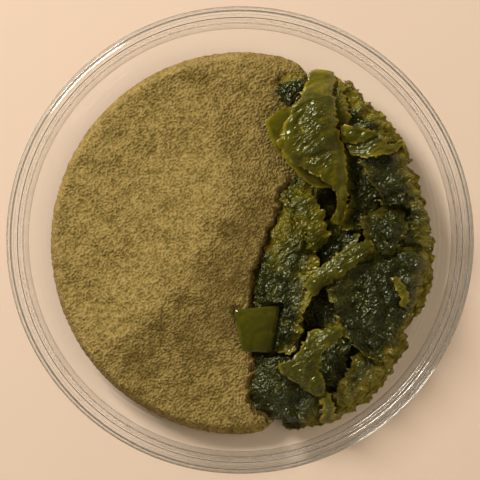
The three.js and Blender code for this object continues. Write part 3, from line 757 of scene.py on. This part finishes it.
# How strong the pale edge is on some smooth fronds, partly a painted highlight along their lit edges.
PALE_AND_LIT_EDGES = {"frond_flap": 0.2, "frond_spear": 0.55, "frond_crown": 0.9}
PALE_FACES = {"frond_flap": -0.25, "frond_spear": -0.06, "frond_under_blade": 0.22}


def pale_rim_and_highlight(name, smooth, bend, x, y, v, to_edge):
    """The pale line along the edges, partly a painted highlight: narrow on a smooth frond, and wide and
    strong where a rough one rolls up and catches the light.
    """
    if smooth:
        rim_width, strength = SMOOTH_RIM, PALE_AND_LIT_EDGES.get(name, 0.7)
    else:
        rolled_up = np.where(v < 0, bend[0], bend[1]) > 0
        rim_width = np.where(rolled_up, 3.2, 2.6) + roughness(x * 0.5 + 4, y * 0.5)
        strength = np.where(rolled_up, 0.85, 0.3) + 0.35 * roughness(x * 0.22, y * 0.22 + 6)
    return np.clip(1 - to_edge / rim_width, 0, 1) * np.clip(strength, 0, 1)


def pale_outer_side(x, y):
    """Near 1 at the side of the heap that faces the rim, over a band that widens towards its lower end."""
    from_middle = np.hypot(x - MAT_MIDDLE[0], y - MAT_MIDDLE[1]) + 1.6 * roughness(x * 0.4, y * 0.4 + 3)
    band = 3.5 + 2.5 * smoothstep(-y, -18, 25)
    return smoothstep(from_middle, MAT_RADIUS - band, MAT_RADIUS + 0.5) * smoothstep(x, 10, 18)


def pale_patches_and_lit_side(name, x, y, v):
    """Soft patches all over, and those that only a few fronds have, with painted light on the crown's right
    half.
    """
    patches = 0.2 * roughness(x * 0.4, y * 0.4) + PALE_FACES.get(name, 0.0)
    if name == "frond_mid_lobe":
        patches = patches + (0.36 + 0.6 * roughness(x * 0.27 + 2, y * 0.2)) * smoothstep(y, -16, -5)
    if name == "frond_crown":
        # Painted light: the crown's right half, which curls down away from the light, is painted paler; its
        # lower end is paler too.
        patches = patches + 0.25 * smoothstep(v, 0.3, 0.9) + 0.15 * smoothstep(-y, -20, -10)
    if name == "frond_west_tip":
        patches = patches + smoothstep(y, 33.5, 36)
    return patches


# %% [markdown]
# ## Making the fronds
# A frond is its middle face moved out to both sides by half its thickness, less at the edges, with the two
# faces joined round the rim. A Solidify modifier does nearly that, but with edges as thick as the middle.
# Where a fold is steep the faces move straight up and down instead. A small lip turns the edges up.

# %% Make each frond, the topmost first
LIP_HEIGHT = 0.3
LIP_WIDTH = 0.5
STEEPEST = 0.3
UP = np.array([0.0, 0.0, 1.0])


def closed_sheet(upper, lower):
    """Points and faces of a sheet with an upper and a lower face, joined round its rim."""
    rows, columns = upper.shape[:2]
    count = rows * columns
    number = np.arange(count).reshape(rows, columns)
    rim = np.concatenate([number[0, :-1], number[:-1, -1], number[-1, :0:-1], number[::-1, 0]])
    faces = grid_faces(rows, columns).tolist()
    faces += grid_faces(rows, columns, count, True).tolist()
    faces += strip_faces(rim + count, rim).tolist()
    return np.vstack([upper.reshape(-1, 3), lower.reshape(-1, 3)]), faces


def frond(name, tone, bend, frill, crinkle, rows):
    """A frond as a closed sheet with wrinkled faces and thin edges, kept under those made before it."""
    length, width = frond_size(rows)
    nu, nv = (int(size / MESH_STEP * FINE) + LEAST_POINTS for size in (length, width))
    u, v = np.linspace(0, 1, nu + 1)[:, None], np.linspace(-1, 1, nv + 1)[None, :]
    sheet = frond_sheet(rows, bend, frill, crinkle, u, v)
    smooth = tone == "olive" and "margin" not in name and "frill" not in name
    crepe = creping(name, crinkle, u, v) if smooth else np.ones(sheet.shape[:2])

    amount = min(1.7, 0.3 + 1.5 * crinkle)
    stretch = 2.2 if smooth else 1.3
    wrinkle = fine_wrinkles(sheet[..., 0] + sheet[..., 2], sheet[..., 1], amount, crepe, stretch)
    wrinkle = wrinkle - wrinkle.mean()
    sheet = sheet + sheet_normals(sheet) * wrinkle[..., None]
    normal = sheet_normals(sheet)

    to_edge = np.minimum(np.minimum(u, 1 - u) * length, (1 - np.abs(v)) * width * 0.5)
    lip = LIP_HEIGHT * raggedness(frill) * np.exp(-to_edge / LIP_WIDTH)
    sheet = keep_under(sheet + UP * lip[..., None], FROND_THICKNESS / 2 + CLEARANCE)
    normal = np.where((normal[..., 2] > STEEPEST)[..., None], normal, UP)
    half = (FROND_THICKNESS / 2 * (0.45 + 0.55 * smoothstep(to_edge, 0, 1.0)))[..., None]
    upper, lower = sheet + normal * half, sheet - normal * half
    add_to_ceiling(lower)
    points, faces = closed_sheet(upper, lower)

    x, y = sheet[..., 0], sheet[..., 1]
    # Painted light and shade go into this value as well: the rims' painted highlights, the wrinkles' ridges
    # painted lighter and their hollows darker, and the crown's lit side in the patches.
    thin = pale_rim_and_highlight(name, smooth, bend, x, y, v, to_edge) + (0.25 if smooth else 0.8) * pale_outer_side(x, y)
    thin = thin + 0.12 * wrinkle / (wrinkle.std() + 0.01) + pale_patches_and_lit_side(name, x, y, v)
    values = {"thin": np.tile(np.clip(thin, 0, 1).ravel(), 2), "crepe": np.tile(crepe.ravel(), 2)}
    thing = new_object("wet_" + name, points, faces, wet_olive if tone == "olive" else wet_dark, values)
    part_of_dish(thing, name)
    return len(faces)


total = sum(frond(*entry) for entry in FRONDS)
print(len(FRONDS), "fronds", total, "faces")

# %% [markdown]
# ## Banks of meal and mats of frond
# What is poured or packed has no edges of its own, so a square grid is pressed onto a disc, which gives
# even faces with none pinched in the middle. How far out the disc reaches is a function of the angle, and
# how high it stands is a function of the place.


# %% A square grid pressed onto a disc
def disc_place(a, b):
    """The square's point (a, b) as a share of the way out and an angle: squares become circles."""
    quarter = np.pi / 4
    wide = np.abs(a) > np.abs(b)
    safe_a, safe_b = np.where(a == 0, 1.0, a), np.where(b == 0, 1.0, b)
    wide_angle = np.where(a < 0, np.pi, 0.0) + quarter * b / safe_a
    tall_angle = np.where(b < 0, -1.0, 1.0) * 2 * quarter - quarter * a / safe_b
    return np.maximum(np.abs(a), np.abs(b)), np.where(wide, wide_angle, tall_angle)


def to_circle(start, centre, radius, angle):
    """How far it is from a point to a circle, at each angle."""
    dx, dy = start[0] - centre[0], start[1] - centre[1]
    forward = dx * np.cos(angle) + dy * np.sin(angle)
    return np.sqrt(forward**2 + radius**2 - dx**2 - dy**2) - forward


def to_line(start, x, slant, angle):
    """How far it is to the line through (x, 0) that leans by slant, or 1000 where the angle turns away."""
    ahead = (x + slant * start[1] - start[0]) / (np.cos(angle) - slant * np.sin(angle))
    return np.where(ahead > 0, ahead, 1000.0)


def soft_least(a, b):
    """The lesser of two distances, (a^-10 + b^-10)^(-1/10), which rounds the corner between them."""
    return (a**-10.0 + b**-10.0) ** -0.1


def mound(star, reach, height, cells):
    """Points and faces of a closed bank on the floor, with a value at each point of it."""
    line = np.linspace(-1, 1, cells + 1)
    b, a = np.meshgrid(line, line, indexing="ij")
    share, angle = disc_place(a, b)
    distance = share * reach(angle)
    x, y = star[0] + distance * np.cos(angle), star[1] + distance * np.sin(angle)
    z, extra = height(x, y, share)
    top = np.stack([x, y, z], -1).reshape(-1, 3)
    number = np.arange(len(top)).reshape(cells + 1, cells + 1)
    rim = np.concatenate([number[0, :-1], number[:-1, -1], number[-1, :0:-1], number[:0:-1, 0]])
    below = top[rim].copy()
    below[:, 2] = RESTING_LEVEL
    points = np.vstack([top, below, [[star[0], star[1], RESTING_LEVEL]]])
    low = len(top) + np.arange(len(rim))
    faces = grid_faces(cells + 1, cells + 1).tolist()
    faces += strip_faces(np.append(low, low[0]), np.append(rim, rim[0])).tolist()
    faces += fan_faces(len(points) - 1, np.roll(low, -1), low).tolist()
    values = np.concatenate([extra.ravel(), np.zeros(len(rim) + 1)])
    return points, faces, values


# %% [markdown]
# ## The meal
# The bank rises to a low shoulder by the glass and on to a crest, which bends from the top to the lower
# left. From the crest it falls in an even slope under the fronds. It has faint ripples and soft lumps, and
# its grain is noise of two sizes. Each crumb could be a small mesh of its own, but thousands of them would
# be heavy and look no different from above. The material finds the pits of the grain in a stored value
# and paints them darker, as painted shade over the meal's own uneven tone.


# %% The bank of meal
def meal_grain(x, y):
    """Grain height from -1 to 1: two sizes of noise, 1 mm and 0.6 mm, pulled about by a third."""
    warp_x = x + 0.3 * roughness(x * 1.1 + 31, y * 1.1)
    warp_y = y + 0.3 * roughness(x * 1.1, y * 1.1 + 17)
    coarse = roughness(*turned(warp_x + 9, warp_y, 20))
    fine = roughness(*turned(warp_x * 1.7, warp_y * 1.7 + 4, 55))
    return 0.5 * coarse + 0.5 * fine


def meal_height(x, y, share):
    """Height of the meal, and the height of its grain alone for the colour, which paints shade into its
    pits.
    Left of the crest the height falls off as an exponential of the distance from it, and right of it as a
    straight line."""
    shoulder = 1 - 0.7 * np.maximum(0, (share - 0.94) / 0.06) ** 2
    end = MEAL_END + MEAL_END_SLANT * y
    crest_place = -7 + 0.475 * y - 0.0168 * y * y
    side = x - crest_place
    crest = CREST_HEIGHT * (1 - 0.5 * smoothstep(y, 0, 28)) * (1 - 0.4 * smoothstep(-y, 8, 32))
    left_bank = SHOULDER_HEIGHT + crest * np.exp(-(np.sqrt(side**2 + 16) - 4) / 15)
    down = np.minimum(1, (np.sqrt(side**2 + 9) - 3) / (end - crest_place - 2.8))
    right_bank = SHOULDER_HEIGHT + crest + (END_HEIGHT - SHOULDER_HEIGHT - crest) * down
    across_ripples = x * 0.5 + y * 0.85
    ripples = 0.22 * np.sin(across_ripples * 0.75 + 1.4 * roughness(x * 0.12, y * 0.12))
    lumps = 0.45 * roughness(x * 0.16 + 7, y * 0.16) + 0.22 * roughness(x * 0.5, y * 0.5 + 3)
    body = np.where(side < 0, left_bank, right_bank)
    relief = (ripples + lumps) * smoothstep(end + 3 - x, 0, 22)
    grain = meal_grain(x, y)
    z = RESTING_LEVEL + MEAL_RIM_HEIGHT + (body + relief) * shoulder + GRAIN_HEIGHT * grain
    return z, np.clip(0.5 + 0.7 * grain, 0, 1)


def meal_reach(angle):
    """Out to the circle of the meal or to its end under the fronds, whichever is nearer."""
    side = to_circle(MEAL_STAR, MEAL_MIDDLE, MEAL_RADIUS, angle)
    end = to_line(MEAL_STAR, MEAL_END, MEAL_END_SLANT, angle)
    return soft_least(side, end) + 0.12 * roughness(angle * 60, angle * 0)


points, faces, values = mound(MEAL_STAR, meal_reach, meal_height, int(300 * FINE))
meal = new_object("bank_of_meal", tuck_under(points), faces, meal_powder, {"height": values})
part_of_dish(meal, "meal")
print("meal", len(faces), "faces")

# %% [markdown]
# ## The mat below the fronds
# The lowest fronds are packed so close that they can't be told apart. They are one crumpled mat, whose
# frilled edge shows round the heap.


# %% The mat
def mat_reach(angle):
    """Out to a circle or to the meal's side, with two sines multiplied for the frills."""
    side = to_circle(MAT_STAR, MAT_MIDDLE, MAT_RADIUS, angle)
    end = to_line(MAT_STAR, MEAL_END + MAT_PAST_MEAL, MEAL_END_SLANT, angle)
    return soft_least(side, end) * (1 + 0.035 * np.sin(13 * angle) * np.sin(5 * angle + 1)) - 0.6


def mat_height(x, y, share):
    """Height of the mat, and how near each point is to the rim for the colour."""
    dome = 1 - share**4
    wrinkles = 1 - 2 * np.abs(roughness(x * 0.3 + 2, y * 0.3))
    creases = 0.5 - np.abs(roughness(x * 0.7, y * 0.7 + 5))
    folds = (0.8 * wrinkles + 0.5 * creases) * (0.35 + 0.65 * dome)
    z = RESTING_LEVEL + MAT_RIM_HEIGHT + dome * MAT_HEIGHT + folds + fine_wrinkles(x, y, 0.6, 1.0)
    return z, np.clip(smoothstep(share, 0.86, 1.0) + 0.2 * roughness(x * 0.4, y * 0.4), 0, 1)


points, faces, values = mound(MAT_STAR, mat_reach, mat_height, int(230 * FINE))
mat_values = {"thin": values, "crepe": np.full(len(values), 0.6)}
mat = new_object("mat_of_fronds", tuck_under(points), faces, wet_deep, mat_values)
part_of_dish(mat, "frond_mat")
print("mat", len(faces), "faces")

# %% [markdown]
# ## Table, light and camera
# The main light is a 0.3 m square to the upper left, 0.8 m away, and makes the glints. A larger one, high
# on the right, only softens the shadows, so it is kept out of reflections. The room is dimmer overhead
# than lower down, which keeps the wet fronds dark between their glints. The camera looks straight down
# through a long lens.

# %% The table
TABLE_HALF = 1500.0
TABLE_LEVEL = -0.05

table, shader = new_material("pale table")
shader.inputs["Base Color"].default_value = (0.78, 0.6, 0.47, 1)
shader.inputs["Roughness"].default_value = 0.9
corners = TABLE_HALF * np.array([(-1, -1), (1, -1), (1, 1), (-1, 1)])
floor = new_object("table_top", np.insert(corners, 2, TABLE_LEVEL, axis=1), [[0, 1, 2, 3]], table)


# %% The lights
def area_light(name, place, size, power, colour):
    """A square light, its place and size in metres, that faces a point 10 mm above the table's middle."""
    light = bpy.data.lights.new(name, "AREA")
    light.size = size
    light.energy = power
    light.color = colour
    thing = bpy.data.objects.new(name, light)
    thing.location = place
    away = np.array(place) - np.array([0.0, 0.0, 0.01])
    tilt = np.arctan2(np.hypot(away[0], away[1]), away[2])
    thing.rotation_euler = (tilt, 0, np.arctan2(away[0], -away[1]))
    bpy.context.scene.collection.objects.link(thing)
    return thing


area_light("key", (-0.46, 0.49, 0.46), 0.3, 7.8, (1.0, 0.96, 0.9))
fill = area_light("fill", (0.5, -0.1, 0.9), 0.8, 3.3, (1.0, 0.9, 0.74))
fill.visible_glossy = False
print("lights", [(light.name, light.energy) for light in bpy.data.lights])

# %% The room
NEAR_HORIZON = (0.38, 0.35, 0.31, 1)
OVERHEAD = (0.1, 0.09, 0.055, 1)

world = bpy.data.worlds.new("room")
world.use_nodes = True
room = world.node_tree
direction = room.nodes.new("ShaderNodeTexCoord")
split = room.nodes.new("ShaderNodeSeparateXYZ")
shade = room.nodes.new("ShaderNodeValToRGB")
shade.color_ramp.elements[0].position = 0.25
shade.color_ramp.elements[0].color = NEAR_HORIZON
shade.color_ramp.elements[1].position = 0.6
shade.color_ramp.elements[1].color = OVERHEAD
room.links.new(direction.outputs["Generated"], split.inputs["Vector"])
room.links.new(split.outputs["Z"], shade.inputs["Fac"])
room.links.new(shade.outputs["Color"], room.nodes["Background"].inputs["Color"])
bpy.context.scene.world = world
bpy.context.scene.view_settings.view_transform = "Standard"

# %% The camera
CAMERA_HEIGHT = 0.49

camera_data = bpy.data.cameras.new("camera")
camera_data.sensor_width = 36.0
camera_data.lens = 165.7
camera_data.clip_end = 10.0
camera = bpy.data.objects.new("camera", camera_data)
camera.location = (0.0, 0.0, CAMERA_HEIGHT)
bpy.context.scene.collection.objects.link(camera)
bpy.context.scene.camera = camera
print("camera", CAMERA_HEIGHT, "m up, lens", camera_data.lens, "mm")
